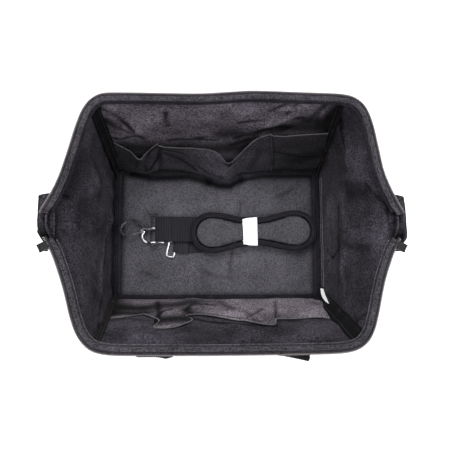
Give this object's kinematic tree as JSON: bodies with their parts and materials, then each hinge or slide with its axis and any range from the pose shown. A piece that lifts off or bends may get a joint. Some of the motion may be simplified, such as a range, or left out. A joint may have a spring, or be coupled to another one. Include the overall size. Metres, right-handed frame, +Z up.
{
  "type": "tool bag",
  "caption": "Open-mouth black cloth tool bag with folding wire frames, hanging handle loops, side pockets, a zip and a padded shoulder strap with snap hooks lying inside.",
  "frame": {"origin": "on the surface the bag stands on, under the middle of its feet", "axes": "+X to the right end, +Y to the rear wall, +Z up"},
  "size_m": [0.5346, 0.3838, 0.275],
  "materials": {
    "adjuster_slide": "dark gunmetal",
    "base_panel": "matt black polyester",
    "blank_label": "white satin tape, bare",
    "first_hook_gate": "dark gunmetal",
    "first_snap_hook": "dark gunmetal",
    "first_strap_ring": "dark gunmetal",
    "floor_binding": "matt black binding tape",
    "floor_board": "matt charcoal polyester lining",
    "front_frame_wire": "bare wire",
    "front_handle_loop": "ribbed black webbing",
    "front_hem": "matt black polyester",
    "front_left_corner_tape": "matt black binding tape",
    "front_left_foot": "matt black",
    "front_left_handle_strip": "ribbed black webbing",
    "front_left_hem_end": "matt black polyester",
    "front_pocket": "matt charcoal polyester lining",
    "front_right_corner_tape": "matt black binding tape",
    "front_right_foot": "matt black",
    "front_right_handle_strip": "ribbed black webbing",
    "front_right_hem_end": "matt black polyester",
    "front_wall": "matt black polyester",
    "front_zip_half": "matt black binding tape",
    "left_d_ring": "dark gunmetal",
    "left_end_gusset": "matt black polyester",
    "left_end_panel": "matt black polyester",
    "left_ring_tab": "ribbed black webbing",
    "left_zip_end_tab": "matt black binding tape",
    "left_zip_puller": "dark gunmetal",
    "left_zip_slider": "dark gunmetal",
    "pad_binding": "matt black binding tape",
    "paper_band": null,
    "rear_frame_wire": "bare wire",
    "rear_handle_loop": "ribbed black webbing",
    "rear_hem": "matt black polyester",
    "rear_left_corner_tape": "matt black binding tape",
    "rear_left_foot": "matt black",
    "rear_left_handle_strip": "ribbed black webbing",
    "rear_left_hem_end": "matt black polyester",
    "rear_pocket": "matt charcoal polyester lining",
    "rear_right_corner_tape": "matt black binding tape",
    "rear_right_foot": "matt black",
    "rear_right_handle_strip": "ribbed black webbing",
    "rear_right_hem_end": "matt black polyester",
    "rear_wall": "matt black polyester",
    "rear_zip_half": "matt black binding tape",
    "right_d_ring": "dark gunmetal",
    "right_end_gusset": "matt black polyester",
    "right_end_panel": "matt black polyester",
    "right_ring_tab": "ribbed black webbing",
    "right_zip_end_tab": "matt black binding tape",
    "right_zip_puller": "dark gunmetal",
    "right_zip_slider": "dark gunmetal",
    "second_hook_gate": "bright plated",
    "second_snap_hook": "bright plated",
    "second_strap_ring": "bright plated",
    "shoulder_pad": "matt charcoal polyester lining",
    "strap_tail": "ribbed black webbing",
    "strap_webbing": "ribbed black webbing"
  },
  "bodies": {
    "bag_body": {"base_panel": "base_panel", "floor_board": "floor_board", "floor_binding": "floor_binding", "front_wall": "front_wall", "rear_wall": "rear_wall", "left_end_panel": "left_end_panel", "right_end_panel": "right_end_panel", "left_end_gusset": "left_end_gusset", "right_end_gusset": "right_end_gusset", "front_left_corner_tape": "front_left_corner_tape", "front_right_corner_tape": "front_right_corner_tape", "rear_left_corner_tape": "rear_left_corner_tape", "rear_right_corner_tape": "rear_right_corner_tape", "front_left_foot": "front_left_foot", "front_right_foot": "front_right_foot", "rear_left_foot": "rear_left_foot", "rear_right_foot": "rear_right_foot", "front_pocket": "front_pocket", "rear_pocket": "rear_pocket", "blank_label": "blank_label", "front_left_handle_strip": "front_left_handle_strip", "front_right_handle_strip": "front_right_handle_strip", "rear_left_handle_strip": "rear_left_handle_strip", "rear_right_handle_strip": "rear_right_handle_strip", "left_ring_tab": "left_ring_tab", "right_ring_tab": "right_ring_tab", "left_zip_end_tab": "left_zip_end_tab", "right_zip_end_tab": "right_zip_end_tab"},
    "front_frame": {"front_frame_wire": "front_frame_wire", "front_hem": "front_hem", "front_zip_half": "front_zip_half", "front_left_hem_end": "front_left_hem_end", "front_right_hem_end": "front_right_hem_end"},
    "rear_frame": {"rear_frame_wire": "rear_frame_wire", "rear_hem": "rear_hem", "rear_zip_half": "rear_zip_half", "rear_left_hem_end": "rear_left_hem_end", "rear_right_hem_end": "rear_right_hem_end"},
    "front_handle": {"front_handle_loop": "front_handle_loop"},
    "rear_handle": {"rear_handle_loop": "rear_handle_loop"},
    "left_ring": {"left_d_ring": "left_d_ring"},
    "right_ring": {"right_d_ring": "right_d_ring"},
    "left_slider": {"left_zip_slider": "left_zip_slider"},
    "right_slider": {"right_zip_slider": "right_zip_slider"},
    "left_puller": {"left_zip_puller": "left_zip_puller"},
    "right_puller": {"right_zip_puller": "right_zip_puller"},
    "shoulder_strap": {"shoulder_pad": "shoulder_pad", "pad_binding": "pad_binding", "paper_band": "paper_band", "strap_webbing": "strap_webbing", "strap_tail": "strap_tail", "adjuster_slide": "adjuster_slide"},
    "first_ring": {"first_strap_ring": "first_strap_ring"},
    "first_hook": {"first_snap_hook": "first_snap_hook"},
    "first_gate": {"first_hook_gate": "first_hook_gate"},
    "second_ring": {"second_strap_ring": "second_strap_ring"},
    "second_hook": {"second_snap_hook": "second_snap_hook"},
    "second_gate": {"second_hook_gate": "second_hook_gate"}
  },
  "joints": [
    {"name": "front_frame_fold", "type": "hinge", "parent": "bag_body", "child": "front_frame", "pos_m": [0, -0.1115, 0.1665], "axis": [-1, 0, 0], "range_deg": [0, 90], "deforming": ["front_wall", "rear_wall", "left_end_gusset", "right_end_gusset", "front_left_handle_strip", "front_right_handle_strip", "rear_left_handle_strip", "rear_right_handle_strip", "front_left_hem_end", "front_right_hem_end", "rear_left_hem_end", "rear_right_hem_end", "front_zip_half", "rear_zip_half", "left_zip_end_tab", "right_zip_end_tab"]},
    {"name": "rear_frame_fold", "type": "hinge", "parent": "bag_body", "child": "rear_frame", "pos_m": [0, 0.1115, 0.1665], "axis": [1, 0, 0], "range_deg": [0, 90], "deforming": ["front_wall", "rear_wall", "left_end_gusset", "right_end_gusset", "front_left_handle_strip", "front_right_handle_strip", "rear_left_handle_strip", "rear_right_handle_strip", "front_left_hem_end", "front_right_hem_end", "rear_left_hem_end", "rear_right_hem_end", "front_zip_half", "rear_zip_half", "left_zip_end_tab", "right_zip_end_tab"]},
    {"name": "front_handle_swing", "type": "hinge", "parent": "front_frame", "child": "front_handle", "pos_m": [0, -0.1894, 0.275], "axis": [1, 0, 0], "range_deg": [-180, 0]},
    {"name": "rear_handle_swing", "type": "hinge", "parent": "rear_frame", "child": "rear_handle", "pos_m": [0, 0.1894, 0.275], "axis": [-1, 0, 0], "range_deg": [-180, 0]},
    {"name": "right_ring_swing", "type": "hinge", "parent": "bag_body", "child": "right_ring", "pos_m": [0.2147, 0, 0.08], "axis": [0, 1, 0], "range_deg": [-150, 0]},
    {"name": "left_ring_swing", "type": "hinge", "parent": "bag_body", "child": "left_ring", "pos_m": [-0.2147, 0, 0.08], "axis": [0, -1, 0], "range_deg": [-150, 0]},
    {"name": "right_slider_run", "type": "slide", "parent": "front_frame", "child": "right_slider", "axis": [-0.4283, -0.9036, 0], "range_m": [0, 0.012]},
    {"name": "left_slider_run", "type": "slide", "parent": "front_frame", "child": "left_slider", "axis": [0.4283, -0.9036, 0], "range_m": [0, 0.012]},
    {"name": "right_puller_swing", "type": "hinge", "parent": "right_slider", "child": "right_puller", "pos_m": [0.25579, -0.0386, 0.27], "axis": [-0.4283, -0.9036, 0], "range_deg": [0, 160]},
    {"name": "left_puller_swing", "type": "hinge", "parent": "left_slider", "child": "left_puller", "pos_m": [-0.25579, -0.0386, 0.27], "axis": [-0.4283, 0.9036, 0], "range_deg": [0, 160]},
    {"name": "strap_lift", "type": "slide", "parent": "bag_body", "child": "shoulder_strap", "axis": [0, 0, 1], "range_m": [0, 0.3]},
    {"name": "first_ring_swing", "type": "hinge", "parent": "shoulder_strap", "child": "first_ring", "pos_m": [-0.12, 0.007, 0.027], "axis": [0, 1, 0], "range_deg": [0, 115]},
    {"name": "second_ring_swing", "type": "hinge", "parent": "shoulder_strap", "child": "second_ring", "pos_m": [-0.082, -0.018, 0.0176], "axis": [0.225, 0.9744, 0], "range_deg": [0, 0.9]},
    {"name": "first_hook_swivel", "type": "hinge", "parent": "first_ring", "child": "first_hook", "pos_m": [-0.12, 0.007, 0.027], "axis": [-0.9903, 0, 0.1392], "range_deg": [-5, 5]},
    {"name": "second_hook_swivel", "type": "hinge", "parent": "second_ring", "child": "second_hook", "pos_m": [-0.082, -0.018, 0.0176], "axis": [-0.9744, 0.225, 0], "range_deg": [-5, 5]},
    {"name": "first_gate_open", "type": "hinge", "parent": "first_hook", "child": "first_gate", "pos_m": [-0.14981, 0.0008, 0.03119], "axis": [-0.1392, 0, -0.9903], "range_deg": [0, 25], "stiffness_Nm_per_rad": 0.01, "springref_deg": -11.46},
    {"name": "second_gate_open", "type": "hinge", "parent": "second_hook", "child": "second_gate", "pos_m": [-0.11272, -0.01727, 0.0176], "axis": [0, 0, -1], "range_deg": [0, 25], "stiffness_Nm_per_rad": 0.01, "springref_deg": -11.46}
  ],
  "couplings": [
    {"joint": "rear_frame_fold", "follows": "front_frame_fold", "ratio": 1}
  ]
}
